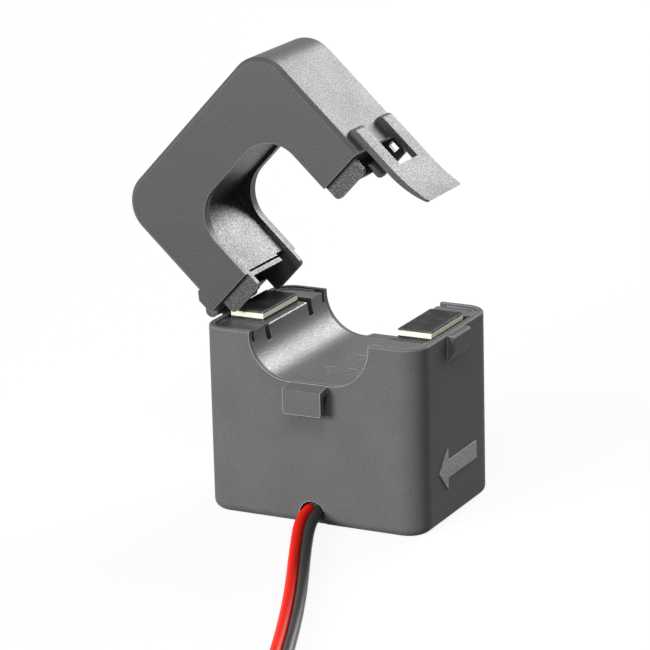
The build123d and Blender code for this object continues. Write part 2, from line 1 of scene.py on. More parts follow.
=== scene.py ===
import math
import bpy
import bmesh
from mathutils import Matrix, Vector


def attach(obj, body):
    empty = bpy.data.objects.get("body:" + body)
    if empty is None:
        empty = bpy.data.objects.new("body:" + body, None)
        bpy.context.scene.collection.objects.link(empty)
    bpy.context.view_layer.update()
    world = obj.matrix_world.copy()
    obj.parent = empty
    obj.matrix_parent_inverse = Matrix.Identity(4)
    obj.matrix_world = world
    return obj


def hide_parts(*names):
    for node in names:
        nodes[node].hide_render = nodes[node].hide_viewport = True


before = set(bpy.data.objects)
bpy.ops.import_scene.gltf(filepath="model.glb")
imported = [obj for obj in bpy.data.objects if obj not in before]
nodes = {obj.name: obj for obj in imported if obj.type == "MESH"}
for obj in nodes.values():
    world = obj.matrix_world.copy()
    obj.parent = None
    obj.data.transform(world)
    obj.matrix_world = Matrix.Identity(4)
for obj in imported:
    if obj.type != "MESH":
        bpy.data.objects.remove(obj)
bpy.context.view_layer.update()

# %% [markdown]
# A split-core current transformer stands open on a bench. Its lower half holds the
# winding and one half of the iron core, and its upper half swings on a pin at the left
# so that a cable can be laid in without cutting it. The solids come from the packed
# model. This lesson gives them their finish, makes the two leads at their full length,
# and lights the whole thing as a catalogue photograph would.

MM = 0.001

# %% [markdown]
# The camera comes first, because the leads have to leave its view in the right place
# and the spare lead has to lie just outside it. A long lens from some 60 cm away keeps
# the upright edges nearly parallel, as they are in the photograph. The camera is turned
# round the object, raised a little, and rolled by a degree and a half.

# %% Camera
VIEW_AZIMUTH = math.radians(27.238)
VIEW_ELEVATION = math.radians(16.398)
VIEW_ROLL = math.radians(-1.450)
VIEW_ANGLE = math.radians(11.2916)
VIEW_DISTANCE = 619.081 * MM
VIEW_TARGET = Vector((-4.594, 0.0, 34.002)) * MM
CLIP_NEAR = 0.05
CLIP_FAR = 20.0


def camera_axes():
    """The camera's right, up and back directions in the object's frame."""
    flat = math.cos(VIEW_ELEVATION)
    level = Vector((math.cos(VIEW_AZIMUTH), math.sin(VIEW_AZIMUTH), 0.0))
    away = Vector((math.sin(VIEW_AZIMUTH), -math.cos(VIEW_AZIMUTH), 0.0))
    back = away * flat + Vector((0.0, 0.0, math.sin(VIEW_ELEVATION)))
    upright = back.cross(level)
    right = math.cos(VIEW_ROLL) * level + math.sin(VIEW_ROLL) * upright
    up = math.cos(VIEW_ROLL) * upright - math.sin(VIEW_ROLL) * level
    return right, up, back


def make_camera():
    right, up, back = camera_axes()
    lens = bpy.data.cameras.new("photo_camera")
    lens.sensor_fit = "HORIZONTAL"
    lens.angle = VIEW_ANGLE
    lens.clip_start = CLIP_NEAR
    lens.clip_end = CLIP_FAR
    camera = bpy.data.objects.new("photo_camera", lens)
    turn = Matrix((right, up, back)).transposed().to_4x4()
    camera.matrix_world = Matrix.Translation(VIEW_TARGET + back * VIEW_DISTANCE) @ turn
    bpy.context.scene.collection.objects.link(camera)
    bpy.context.scene.camera = camera
    return camera


camera = make_camera()
print("camera at, mm", [round(v / MM, 1) for v in camera.location])

# %% [markdown]
# Each lead is one metre of thin hook-up wire. It leaves the arched notch straight, sags
# to the bench within a few diameters and runs side by side with the other one to the
# picture's lower edge. A NURBS curve through a few listed points bends as wire does,
# where a chain of straight tubes would show its joints.

# %% Leads: sizes and routes
LEAD_D = 2.1 * MM
LEAD_LENGTH = 1.0

# Routes in mm, from inside the notch to the coil.
RED_ROUTE = [
    (-1.1, -13.0, 2.8),
    (-1.1, -18.5, 2.8),
    (3.3, -29.5, 1.05),
    (17.0, -58.6, 1.05),
    (31.875, -97.0, 1.05),
]
BLACK_ROUTE = [
    (1.1, -13.0, 2.8),
    (1.1, -18.0, 2.8),
    (5.15, -28.75, 1.05),
    (18.96, -57.85, 1.05),
    (33.65, -96.0, 1.05),
    (33.9, -110.4, 3.2),
]
print("route points", len(RED_ROUTE), "red", len(BLACK_ROUTE), "black")

# %% [markdown]
# The rest of the two leads is wound together, red below black, in one neat coil just out
# of view, six turns wide and four wires high. Each turn runs clockwise in a column of its
# own. Near its end it steps over to the next column, or up to the next lift. The turns
# are more points of the same curve, and a loop works them out, so they lie evenly.

# %% Leads: the coil's turns
COIL_CENTRE = Vector((14.5, -122.3, 0.0)) * MM
COIL_R = 12.0 * MM
COIL_COLUMNS = 6
COIL_LIFTS = 2
COIL_PITCH = 2.15 * MM
TURN_POINTS = 24
STEP_POINTS = 5
# A spline runs inside its control points, so a turn's points stand this much further out.
SPLINE_CUT = (3 + math.cos(2 * math.pi / TURN_POINTS)) / 4


def coil_places():
    """Each turn's column and lift: outside in on the bench, then back out above it."""
    places = []
    for lift in range(COIL_LIFTS):
        columns = range(COIL_COLUMNS - 1, -1, -1) if lift % 2 == 0 else range(COIL_COLUMNS)
        places += [(column, lift) for column in columns]
    return places


def smooth_step(share):
    return share * share * (3 - 2 * share)


def share_of(within, first):
    """How far a step that starts at point first of a turn has come, smoothed from 0 to 1."""
    return smooth_step(min(1.0, max(0.0, (within - first) / STEP_POINTS)))


def coil_points(layer, turns):
    """Clockwise turns of one wire. Each moves on to its next column, then to its next lift."""
    places = coil_places()
    points = []
    for index in range(int(round(turns * TURN_POINTS)) + 1):
        turn, within = divmod(index, TURN_POINTS)
        here = places[min(turn, len(places) - 1)]
        after = places[min(turn + 1, len(places) - 1)]
        sideways = share_of(within, TURN_POINTS - 2 * STEP_POINTS)
        upwards = share_of(within, TURN_POINTS - STEP_POINTS)
        column = here[0] + (after[0] - here[0]) * sideways
        lift = here[1] + (after[1] - here[1]) * upwards
        radius = (COIL_R + (column - (COIL_COLUMNS - 1) / 2) * COIL_PITCH) / SPLINE_CUT
        angle = -2 * math.pi * index / TURN_POINTS
        flat = Vector((math.cos(angle), math.sin(angle), 0.0)) * radius
        height = LEAD_D / 2 + (2 * lift + layer) * COIL_PITCH
        points.append(COIL_CENTRE + flat + Vector((0, 0, height)))
    return points


print("room for turns of each lead", len(coil_places()))

# %% [markdown]
# A curve's box in Blender grows by the radius of its points, which is a whole metre
# unless it is set. So the points carry the wire's own radius, and the bevel's depth,
# which multiplies it, is 1. The spare length decides how many turns the coil gets.

# %% Leads: one smooth curve each
def polyline_length(points):
    return sum((b - a).length for a, b in zip(points, points[1:]))


def spline_line(curve):
    """Centreline points of a curve object that has no thickness yet."""
    bpy.context.view_layer.update()
    mesh = bpy.data.meshes.new_from_object(curve)
    line = [v.co.copy() for v in mesh.vertices]
    bpy.data.meshes.remove(mesh)
    return line


def lead_curve(name, route, layer):
    """A lead as one NURBS spline whose coil takes up the length that the route leaves over."""
    straight = [Vector(p) * MM for p in route]
    to_coil = polyline_length(straight + coil_points(layer, 0))
    turns = (LEAD_LENGTH - to_coil) / (2 * math.pi * COIL_R)
    points = straight + coil_points(layer, turns)
    data = bpy.data.curves.new(name, "CURVE")
    data.dimensions = "3D"
    data.resolution_u = 4
    spline = data.splines.new("NURBS")
    spline.points.add(len(points) - 1)
    for slot, point in zip(spline.points, points):
        slot.co = (*point, 1.0)
        slot.radius = LEAD_D / 2
    spline.order_u = 3
    spline.use_endpoint_u = True
    curve = bpy.data.objects.new(name, data)
    bpy.context.scene.collection.objects.link(curve)
    line = spline_line(curve)
    data.bevel_depth = 1.0
    data.bevel_resolution = 5
    data.use_fill_caps = True
    print(name, "length", round(polyline_length(line), 4), "turns", round(turns, 2))
    return curve, line


red_lead, red_line = lead_curve("red_wire", RED_ROUTE, 0)
black_lead, black_line = lead_curve("black_wire", BLACK_ROUTE, 1)

# %% [markdown]
# What isn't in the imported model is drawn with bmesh. Its operators return everything
# that they made in one list, so one helper picks out the vertices, edges or faces, and
# another turns the finished bmesh into an object.

# %% Helpers for meshes
def of_kind(geometry, kind):
    """The vertices, edges or faces among what an operator made."""
    return [g for g in geometry if isinstance(g, kind)]


def mesh_object(name, bm):
    """Turns a bmesh into a smooth object at the origin."""
    mesh = bpy.data.meshes.new(name)
    bm.to_mesh(mesh)
    bm.free()
    for polygon in mesh.polygons:
        polygon.use_smooth = True
    made = bpy.data.objects.new(name, mesh)
    bpy.context.scene.collection.objects.link(made)
    print(name, "faces", len(mesh.polygons))
    return made


# %% [markdown]
# The far end of each lead is stripped and tinned. The bare strands are twisted, so a
# fluted disc is drawn out in steps and turned a little at each, which leaves the shallow
# ropy flutes of a dipped strand. An extrusion makes its side faces in any order, so they
# are sorted by place, and the mesh comes out the same in each run.

# %% Tinned ends
BARE_LENGTH = 7.0 * MM
BARE_R = 0.55 * MM
STRANDS = 7
FLUTE_DEPTH = 0.14
TWIST_STEPS = 14
TWIST = Matrix.Rotation(0.16, 3, "Z")
BLUNTED_TIP = (0.6, 0.6, 1.0)
SUNK_IN = 0.2 * MM


def fluted_disc():
    """A disc whose rim has one shallow flute for each strand."""
    bm = bmesh.new()
    bmesh.ops.create_circle(bm, cap_ends=True, segments=STRANDS * 6, radius=BARE_R)
    for v in bm.verts:
        angle = math.atan2(v.co.y, v.co.x)
        v.co *= 1 - FLUTE_DEPTH * abs(math.cos(angle * STRANDS / 2)) ** 3
    return bm


def face_order(face):
    """A number that rises from ring to ring, and with the angle round each ring."""
    centre = face.calc_center_median()
    ring = round(2 * centre.z * TWIST_STEPS / BARE_LENGTH)
    return ring + math.atan2(centre.y, centre.x) / (2 * math.pi)


def tinned_end(name, line):
    """Twisted, tinned strands that carry on from the end of a lead."""
    tip = line[-1]
    along = (line[-1] - line[-2]).normalized()
    bm = fluted_disc()
    face = bm.faces[:]
    for step in range(TWIST_STEPS):
        made = bmesh.ops.extrude_face_region(bm, geom=face)
        moved = of_kind(made["geom"], bmesh.types.BMVert)
        if step:
            bmesh.ops.delete(bm, geom=face, context="FACES_ONLY")
        bmesh.ops.translate(bm, verts=moved, vec=(0, 0, BARE_LENGTH / TWIST_STEPS))
        bmesh.ops.rotate(bm, verts=moved, cent=(0, 0, 0), matrix=TWIST)
        if step == TWIST_STEPS - 1:
            bmesh.ops.scale(bm, verts=moved, vec=BLUNTED_TIP)
        face = of_kind(made["geom"], bmesh.types.BMFace)
    bm.faces.sort(key=face_order)
    bmesh.ops.recalc_face_normals(bm, faces=bm.faces[:])
    turn = along.to_track_quat("Z", "Y").to_matrix().to_4x4()
    place = Matrix.Translation(tip - along * SUNK_IN)
    bmesh.ops.transform(bm, matrix=place @ turn, verts=bm.verts[:])
    return mesh_object(name, bm)


red_end = tinned_end("red_tinned_end", red_line)
black_end = tinned_end("black_tinned_end", black_line)

# %% [markdown]
# The leads and their ends ride on the lower half, and each stands for plain solids of
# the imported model: its tube along the bench and the ring of the coil that both share.

# %% Leads: what they are
PAIR = ((red_lead, red_end, "red", -1.1), (black_lead, black_end, "black", 1.1))
for lead, end, colour, exit_x in PAIR:
    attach(lead, "base")
    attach(end, "base")
    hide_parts(colour + "_lead", "lead_coil")

# %% [markdown]
# Every material here is built from noise that is read in Object coordinates, so that a
# pattern keeps its real size on each piece. A few short helpers join up the nodes. The
# first ones start a material and make noise of a given size, which can be drawn out
# along an axis where the real surface was drawn, ground or wrinkled that way.

# %% Helpers: materials and noise
def new_material(name):
    material = bpy.data.materials.new(name)
    material.use_nodes = True
    tree = material.node_tree
    shader = tree.nodes["Principled BSDF"]
    return material, tree, shader


def object_coordinates(tree):
    return tree.nodes.new("ShaderNodeTexCoord").outputs["Object"]


def stretched(tree, place, scale):
    """Coordinates whose pattern is drawn out along the axes that have a scale under 1."""
    node = tree.nodes.new("ShaderNodeMapping")
    node.inputs["Scale"].default_value = scale
    tree.links.new(place, node.inputs["Vector"])
    return node.outputs["Vector"]


def noise(tree, place, size, detail=2.0, roughness=0.5):
    """Noise whose blobs are about size metres across."""
    node = tree.nodes.new("ShaderNodeTexNoise")
    node.inputs["Scale"].default_value = 1.0 / size
    node.inputs["Detail"].default_value = detail
    node.inputs["Roughness"].default_value = roughness
    tree.links.new(place, node.inputs["Vector"])
    return node.outputs["Fac"]


print("noise of 1 mm has a scale of", round(1.0 / MM))

# %% [markdown]
# Noise stays mostly between 0.3 and 0.7, so it's spread out before it's used, over other
# numbers for roughness and between two colours for paint. Values are also added,
# multiplied and compared, and two of them are often added up with a share each.

# %% Helpers: ranges and sums
def ranged(tree, value, low, high, from_low=0.3, from_high=0.7):
    """The value's middle range spread over low to high."""
    node = tree.nodes.new("ShaderNodeMapRange")
    node.inputs["From Min"].default_value = from_low
    node.inputs["From Max"].default_value = from_high
    node.inputs["To Min"].default_value = low
    node.inputs["To Max"].default_value = high
    tree.links.new(value, node.inputs["Value"])
    return node.outputs["Result"]


def two_colours(tree, value, dark, light, dark_at=0.3, light_at=0.7):
    """Dark where the value is up to dark_at, light from light_at on, a ramp between them."""
    node = tree.nodes.new("ShaderNodeValToRGB")
    node.color_ramp.elements[0].position = dark_at
    node.color_ramp.elements[0].color = (*dark, 1.0)
    node.color_ramp.elements[1].position = light_at
    node.color_ramp.elements[1].color = (*light, 1.0)
    tree.links.new(value, node.inputs["Fac"])
    return node.outputs["Color"]


def sums(tree, operation, a, b):
    """One sum of two values, each a socket or a plain number."""
    node = tree.nodes.new("ShaderNodeMath")
    node.operation = operation
    for socket, value in zip(node.inputs, (a, b)):
        if isinstance(value, (int, float)):
            socket.default_value = value
        else:
            tree.links.new(value, socket)
    return node.outputs[0]


def weighed(tree, a, a_share, b, b_share):
    """Two values added up, each with its own share."""
    a_part = sums(tree, "MULTIPLY", a, a_share)
    b_part = sums(tree, "MULTIPLY", b, b_share)
    return sums(tree, "ADD", a_part, b_part)


# %% [markdown]
# The next helpers put a result onto the surface. A bump lifts it only by the depth of a
# grain or a scratch, less than a tenth of a millimetre, because every form that can be
# seen from outside is in the meshes already. A mix lays one colour over another where a
# mask is 1, which is how marks, patches and worn edges are painted.

# %% Helpers: relief and paint
# A mix node has sockets for each kind of data. These are the ones for colours.
MIX_SHARE = 0
MIX_UNDER = 6
MIX_OVER = 7
MIXED = 2


def bump(tree, shader, height, depth):
    """Lifts the surface by height times depth metres."""
    node = tree.nodes.new("ShaderNodeBump")
    node.inputs["Strength"].default_value = 1.0
    node.inputs["Distance"].default_value = depth
    tree.links.new(height, node.inputs["Height"])
    tree.links.new(node.outputs["Normal"], shader.inputs["Normal"])


def paint(tree, shader, colours, roughness):
    tree.links.new(colours, shader.inputs["Base Color"])
    tree.links.new(roughness, shader.inputs["Roughness"])


def scaled(colour, factor):
    return tuple(c * factor for c in colour)


def blended(tree, share, under, over):
    """Two colours mixed by share; each is a socket or a plain colour."""
    mix = tree.nodes.new("ShaderNodeMix")
    mix.data_type = "RGBA"
    tree.links.new(share, mix.inputs[MIX_SHARE])
    for socket, colour in ((mix.inputs[MIX_UNDER], under), (mix.inputs[MIX_OVER], over)):
        if isinstance(colour, tuple):
            socket.default_value = (*colour, 1.0)
        else:
            tree.links.new(colour, socket)
    return mix.outputs[MIXED]


def parts_of(tree, vector):
    """The three numbers of a place or a colour, on their own."""
    split = tree.nodes.new("ShaderNodeSeparateXYZ")
    tree.links.new(vector, split.inputs[0])
    return split.outputs


# %% [markdown]
# Real moulded edges are slightly rounded and rubbed paler by handling. Here they are
# painted paler still, as a painted highlight for the light a rounded edge catches, so the
# pale edge is partly wear and partly painted highlight. The small packed edges are sharp,
# so the material finds them. A normal that is rounded over the edge's radius leaves the
# true one only near an edge, and the cosine between the two says how far, whichever way
# the edge runs.

# %% Worn edges, and painted edge highlights
EDGE_R = 0.22 * MM
EDGE_SAMPLES = 6
WEAR_AND_HIGHLIGHT_COSINE = 0.80
FLAT_COSINE = 0.985


def edge_share(tree, radius):
    """1 along sharp edges and 0 on flats."""
    rounded = tree.nodes.new("ShaderNodeBevel")
    rounded.samples = EDGE_SAMPLES
    rounded.inputs["Radius"].default_value = radius
    true = tree.nodes.new("ShaderNodeNewGeometry")
    dot = tree.nodes.new("ShaderNodeVectorMath")
    dot.operation = "DOT_PRODUCT"
    tree.links.new(rounded.outputs["Normal"], dot.inputs[0])
    tree.links.new(true.outputs["True Normal"], dot.inputs[1])
    return ranged(tree, dot.outputs["Value"], 1.0, 0.0, WEAR_AND_HIGHLIGHT_COSINE, FLAT_COSINE)


# The pale edges are partly handling wear and partly a painted highlight.
print("worn edges are pale over about", round(EDGE_R / MM, 2), "mm")

# %% [markdown]
# The housings, the liners and the latch are moulded in dark grey plastic with a fine
# spark-eroded grain. The grain is noise 0.2 to 0.4 mm across that both lifts the surface
# and changes how it shines, over slower patches about a centimetre wide where the melt
# flowed. It could be an image, but noise has no seams and fits a piece of any shape. One
# function makes all five, so that only shade, grain, gloss and marks differ.

# %% Moulded grey plastic
FLOW_SIZE = 9 * MM
GRAIN_SHARE = 0.75
FLOW_SHARE = 0.25
ROUGH_SPREAD = 0.05


def moulded_plastic(name, colour, grain, grain_depth, rough, gloss=0.35, speckle=0.12,
                    marks=None, coarse=None, edge_r=EDGE_R, edge_wear_and_highlight=3.0):
    """Grained plastic. marks may repaint its colours, and coarse may deepen its grain."""
    material, tree, shader = new_material(name)
    shader.inputs["Specular IOR Level"].default_value = gloss
    place = object_coordinates(tree)
    fine = noise(tree, place, grain, detail=1.5, roughness=0.6)
    slow = noise(tree, place, FLOW_SIZE)
    mixed = weighed(tree, fine, GRAIN_SHARE, slow, FLOW_SHARE)
    dark = scaled(colour, 1 - speckle)
    light = scaled(colour, 1 + speckle)
    colours = two_colours(tree, mixed, dark, light, 0.40, 0.60)
    if marks:
        colours = marks(tree, place, colours)
    # Edges are painted paler: partly handling wear, partly a painted highlight.
    colours = blended(tree, edge_share(tree, edge_r), colours, scaled(colour, edge_wear_and_highlight))
    spread = ROUGH_SPREAD + speckle / 3
    paint(tree, shader, colours, ranged(tree, mixed, rough - spread, rough + spread))
    bump(tree, shader, coarse(tree, place, fine) if coarse else fine, grain_depth)
    return material


# %% [markdown]
# The raised arrow on the lower housing is painted paler than the wall behind it, with a
# fine grain: a painted highlight for the light that its raised lines catch. It could be a
# material of its own, but the arrow is part of one solid. It stands further out than the
# right wall and lies below mid-height, so two comparisons of place find it, and the
# colours change there.

# %% Raised arrow, with a painted highlight
ARROW_DARK = (0.31, 0.31, 0.31)
ARROW_LIGHT = (0.46, 0.46, 0.46)
ARROW_GRAIN_SIZE = 0.4 * MM
PROUD_X = 22.6 * MM
BELOW_Z = 20.0 * MM


def lighter_arrow(tree, place, colours):
    """Grainy pale grey painted on the raised arrow as its highlight, and the colours as they
    are elsewhere.
    """
    split = parts_of(tree, place)
    proud = sums(tree, "GREATER_THAN", split["X"], PROUD_X)
    low = sums(tree, "LESS_THAN", split["Z"], BELOW_Z)
    mask = sums(tree, "MULTIPLY", proud, low)
    arrow_grain = noise(tree, place, ARROW_GRAIN_SIZE)
    pale = two_colours(tree, arrow_grain, ARROW_DARK, ARROW_LIGHT, 0.40, 0.60)
    # The pale grey on the arrow is a painted highlight.
    return blended(tree, mask, colours, pale)


# %% [markdown]
# Inside the upper window the retainer's walls show faint square patches, where the
# mould's inserts were stepped. A cell pattern with square distance gives them. The outer
# faces of its four skirts look coarser than the rest, with pale specks, so the same
# noise is five times as deep there and specks are laid over it.

# %% Mould patches and coarse skirts
PATCH_SIZE = 4.5 * MM
PATCH_GREY = (0.16, 0.16, 0.162)
PATCH_SHARE = 0.30
SKIRT_GREY = (0.034, 0.034, 0.035)
SPECK_GREY = (0.10, 0.10, 0.10)
SPECK_SIZE = 0.22 * MM
SKIRT_FACE_Y = 8.9 * MM
EXTRA_DEPTH = 4.0


def mould_patches(tree, place, colours):
    """Faint square patches a few millimetres wide."""
    cells = tree.nodes.new("ShaderNodeTexVoronoi")
    cells.distance = "CHEBYCHEV"
    cells.inputs["Scale"].default_value = 1 / PATCH_SIZE
    tree.links.new(place, cells.inputs["Vector"])
    shade = parts_of(tree, cells.outputs["Color"])["X"]
    return blended(tree, sums(tree, "MULTIPLY", shade, PATCH_SHARE), colours, PATCH_GREY)


def outer_skirts(tree, place):
    """1 on the skirts' outer faces, which stand furthest out along Y, and 0 elsewhere."""
    out = sums(tree, "ABSOLUTE", parts_of(tree, place)["Y"], 0.0)
    return sums(tree, "GREATER_THAN", out, SKIRT_FACE_Y)


def coarse_skirts(tree, place, fine):
    """The grain's height, five times as deep on the skirts' outer faces."""
    extra = sums(tree, "MULTIPLY", outer_skirts(tree, place), EXTRA_DEPTH)
    return sums(tree, "MULTIPLY", fine, sums(tree, "ADD", extra, 1.0))


def sparked_skirts(tree, place, colours):
    """Patches on the walls, and pale specks on the skirts' outer faces."""
    specks = noise(tree, place, SPECK_SIZE, detail=1.0)
    speckled = two_colours(tree, specks, SKIRT_GREY, SPECK_GREY, 0.50, 0.66)
    patched = mould_patches(tree, place, colours)
    return blended(tree, outer_skirts(tree, place), patched, speckled)


# %% [markdown]
# Each grey plastic is one call, with values that come from comparing renders with the
# photograph. The lower shell is the palest and dullest, the cover and the latch are
# darker, and the liners shine more than the rest and have the most visible grain.

# %% The five grey plastics
HOUSING_GREY = (0.109, 0.109, 0.110)
COVER_GREY = (0.046, 0.046, 0.046)
LINER_GREY = (0.046, 0.047, 0.048)

shell_finish = moulded_plastic(
    "shell_plastic", HOUSING_GREY, grain=0.22 * MM, grain_depth=0.020 * MM, rough=0.50,
    gloss=0.06, marks=lighter_arrow, edge_r=0.20 * MM, edge_wear_and_highlight=5.0)
cover_finish = moulded_plastic(
    "cover_plastic", COVER_GREY, grain=0.30 * MM, grain_depth=0.030 * MM, rough=0.47,
    speckle=0.08, edge_r=0.35 * MM, edge_wear_and_highlight=3.5)
liner_finish = moulded_plastic(
    "liner_plastic", LINER_GREY, grain=0.38 * MM, grain_depth=0.038 * MM, rough=0.41,
    gloss=0.5, speckle=0.2, edge_wear_and_highlight=6.0)
skirt_finish = moulded_plastic(
    "skirt_plastic", LINER_GREY, grain=0.42 * MM, grain_depth=0.016 * MM, rough=0.43,
    speckle=0.2, marks=sparked_skirts, coarse=coarse_skirts)
latch_finish = moulded_plastic(
    "latch_plastic", COVER_GREY, grain=0.34 * MM, grain_depth=0.048 * MM, rough=0.47,
    speckle=0.15)
for finish in (shell_finish, cover_finish, liner_finish, skirt_finish, latch_finish):
    print(finish.name, "nodes", len(finish.node_tree.nodes))

# %% [markdown]
# The core's pole faces are ground flat and lacquered. The lacquer is dark and dull, with
# blotches and faint parallel scratches, which are noise drawn out about thirtyfold along
# X; the scratches' lighter streaks are partly painted streak highlights. Along its edges
# the lacquer is worn through here and there, and pale steel is painted there, partly as
# the bare steel and partly as a painted edge highlight, so the share of edge is multiplied
# by a finer noise.

# %% Ground core
WORN_STEEL_AND_HIGHLIGHT = (0.55, 0.55, 0.54)
LACQUER_DARK = (0.018, 0.018, 0.018)
LACQUER_LIGHT = (0.060, 0.060, 0.060)
ALONG_X = (0.03, 1.0, 1.0)


def ground_core():
    """Dull dark lacquer with scratches along X, partly painted streak highlights, and pale
    edges that are partly worn and partly a painted highlight.
    """
    material, tree, shader = new_material("ground_core")
    place = object_coordinates(tree)
    scratches = noise(tree, stretched(tree, place, ALONG_X), 0.12 * MM)
    blotches = noise(tree, place, 3 * MM, detail=3.0)
    streaks = weighed(tree, blotches, 0.5, scratches, 0.5)
    # The lighter streaks are partly painted streak highlights.
    lacquer = two_colours(tree, streaks, LACQUER_DARK, LACQUER_LIGHT, 0.42, 0.62)
    chips = ranged(tree, noise(tree, place, 0.25 * MM), 0.1, 1.0, 0.4, 0.6)
    # Pale steel painted along the edges: partly worn-through lacquer, partly a painted edge
    # highlight.
    bright = sums(tree, "MULTIPLY", edge_share(tree, 0.3 * MM), chips)
    colours = blended(tree, bright, lacquer, WORN_STEEL_AND_HIGHLIGHT)
    paint(tree, shader, colours, ranged(tree, scratches, 0.34, 0.50))
    shader.inputs["Specular IOR Level"].default_value = 0.02
    bump(tree, shader, scratches, 0.003 * MM)
    return material


core_finish = ground_core()
print(core_finish.name, "nodes", len(core_finish.node_tree.nodes))

# %% [markdown]
# The collars round the poles are cream plastic, and the bobbin inside is off-white. Both
# are plain satin plastics without a grain. Soft patches of noise in shade and shine keep
# them from looking like paper.

# %% Collars and bobbin
def satin_plastic(name, colour, rough=0.45):
    material, tree, shader = new_material(name)
    place = object_coordinates(tree)
    patches = noise(tree, place, 1.6 * MM, detail=3.0)
    colours = two_colours(tree, patches, scaled(colour, 0.9), scaled(colour, 1.06))
    paint(tree, shader, colours, ranged(tree, patches, rough - 0.05, rough + 0.08))
    bump(tree, shader, noise(tree, place, 0.15 * MM), 0.004 * MM)
    return material


collar_finish = satin_plastic("collar_cream", (0.86, 0.85, 0.66))
bobbin_finish = satin_plastic("bobbin_white", (0.62, 0.60, 0.54))
for finish in (collar_finish, bobbin_finish):
    print(finish.name, "nodes", len(finish.node_tree.nodes))

# %% [markdown]
# The winding is enamelled copper wire, too fine to be modelled turn by turn, so a band
# pattern stands for the turns, one every 0.28 mm. Its wrap is a thin amber film whose
# wrinkles run round it.

# %% Winding and tape
WIRE_PITCH = 0.28 * MM
# The wave texture repeats every 2 pi / 20 of its scaled coordinate.
BANDS_SCALE = 0.314
COPPER_DARK = (0.25, 0.07, 0.025)
COPPER_LIGHT = (0.62, 0.24, 0.09)
FILM_DARK = (0.62, 0.36, 0.03)
FILM_LIGHT = (0.78, 0.50, 0.06)
ROUND_X = (1.0, 0.3, 0.3)


def bands(tree, place, pitch, axis):
    """Parallel ridges, one for each pitch along the axis."""
    node = tree.nodes.new("ShaderNodeTexWave")
    node.wave_type = "BANDS"
    node.bands_direction = axis
    node.wave_profile = "SIN"
    node.inputs["Scale"].default_value = BANDS_SCALE / pitch
    tree.links.new(place, node.inputs["Vector"])
    return node.outputs["Fac"]


def wound_copper():
    material, tree, shader = new_material("wound_copper")
    place = object_coordinates(tree)
    turns = bands(tree, place, WIRE_PITCH, "X")
    colours = two_colours(tree, turns, COPPER_DARK, COPPER_LIGHT, 0.1, 0.9)
    shader.inputs["Metallic"].default_value = 1.0
    paint(tree, shader, colours, ranged(tree, noise(tree, place, 1.0 * MM), 0.22, 0.34))
    bump(tree, shader, turns, 0.06 * MM)
    return material


def film_tape():
    material, tree, shader = new_material("winding_film")
    place = object_coordinates(tree)
    wrinkles = noise(tree, stretched(tree, place, ROUND_X), 1.2 * MM, detail=3.0)
    colours = two_colours(tree, wrinkles, FILM_DARK, FILM_LIGHT)
    paint(tree, shader, colours, ranged(tree, wrinkles, 0.18, 0.30))
    bump(tree, shader, wrinkles, 0.03 * MM)
    return material


copper_finish = wound_copper()
tape_finish = film_tape()
for finish in (copper_finish, tape_finish):
    print(finish.name, "nodes", len(finish.node_tree.nodes))

# %% [markdown]
# The hinge pin, the leaf spring and the tinned ends are drawn metal. Drawing leaves fine
# lines along the work, so their noise is drawn out twentyfold along one axis and changes
# shade and shine together. The pin is blackened, as its dark ends in the photograph are,
# and the dipped tin is the brightest of the three.

# %% Steel pin and spring, tinned ends
ALONG_Y = (1.0, 0.05, 1.0)


def drawn_steel(name, colour, rough):
    material, tree, shader = new_material(name)
    place = object_coordinates(tree)
    lines = noise(tree, stretched(tree, place, ALONG_Y), 0.10 * MM)
    colours = two_colours(tree, lines, scaled(colour, 0.85), colour)
    shader.inputs["Metallic"].default_value = 1.0
    paint(tree, shader, colours, ranged(tree, lines, rough - 0.06, rough + 0.08))
    bump(tree, shader, lines, 0.002 * MM)
    return material


steel_finish = drawn_steel("drawn_steel", (0.52, 0.52, 0.53), 0.32)
pin_finish = drawn_steel("blackened_pin", (0.10, 0.10, 0.10), 0.38)
tin_finish = drawn_steel("dipped_tin", (0.66, 0.66, 0.68), 0.25)
for finish in (steel_finish, pin_finish, tin_finish):
    print(finish.name, "nodes", len(finish.node_tree.nodes))

# %% [markdown]
# The leads' insulation is soft plastic with a broad, weak shine. It was drawn over the
# wire, so it has no grain, only a slow haze from handling and a very shallow waviness.
# The splice sleeves and the grip inside are duller rubber, made by the same function.

# %% Lead insulation, splices and grip
def insulation(name, colour, rough, gloss=0.3):
    material, tree, shader = new_material(name)
    shader.inputs["Specular IOR Level"].default_value = gloss
    place = object_coordinates(tree)
    haze = noise(tree, place, 2.5 * MM, detail=3.0)
    colours = two_colours(tree, haze, scaled(colour, 0.92), scaled(colour, 1.06))
    paint(tree, shader, colours, ranged(tree, haze, rough - 0.05, rough + 0.06))
    bump(tree, shader, noise(tree, place, 0.5 * MM), 0.006 * MM)
    return material


red_finish = insulation("red_insulation", (0.80, 0.014, 0.004), 0.46, gloss=0.12)
black_finish = insulation("black_insulation", (0.024, 0.023, 0.023), 0.42)
rubber_finish = insulation("grip_rubber", (0.022, 0.022, 0.023), 0.6)
for finish in (red_finish, black_finish, rubber_finish):
    print(finish.name, "nodes", len(finish.node_tree.nodes))

# %% [markdown]
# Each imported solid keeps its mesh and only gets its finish. A dictionary says which one,
# so that the whole choice is seen at a glance and a misspelt name stops the script.

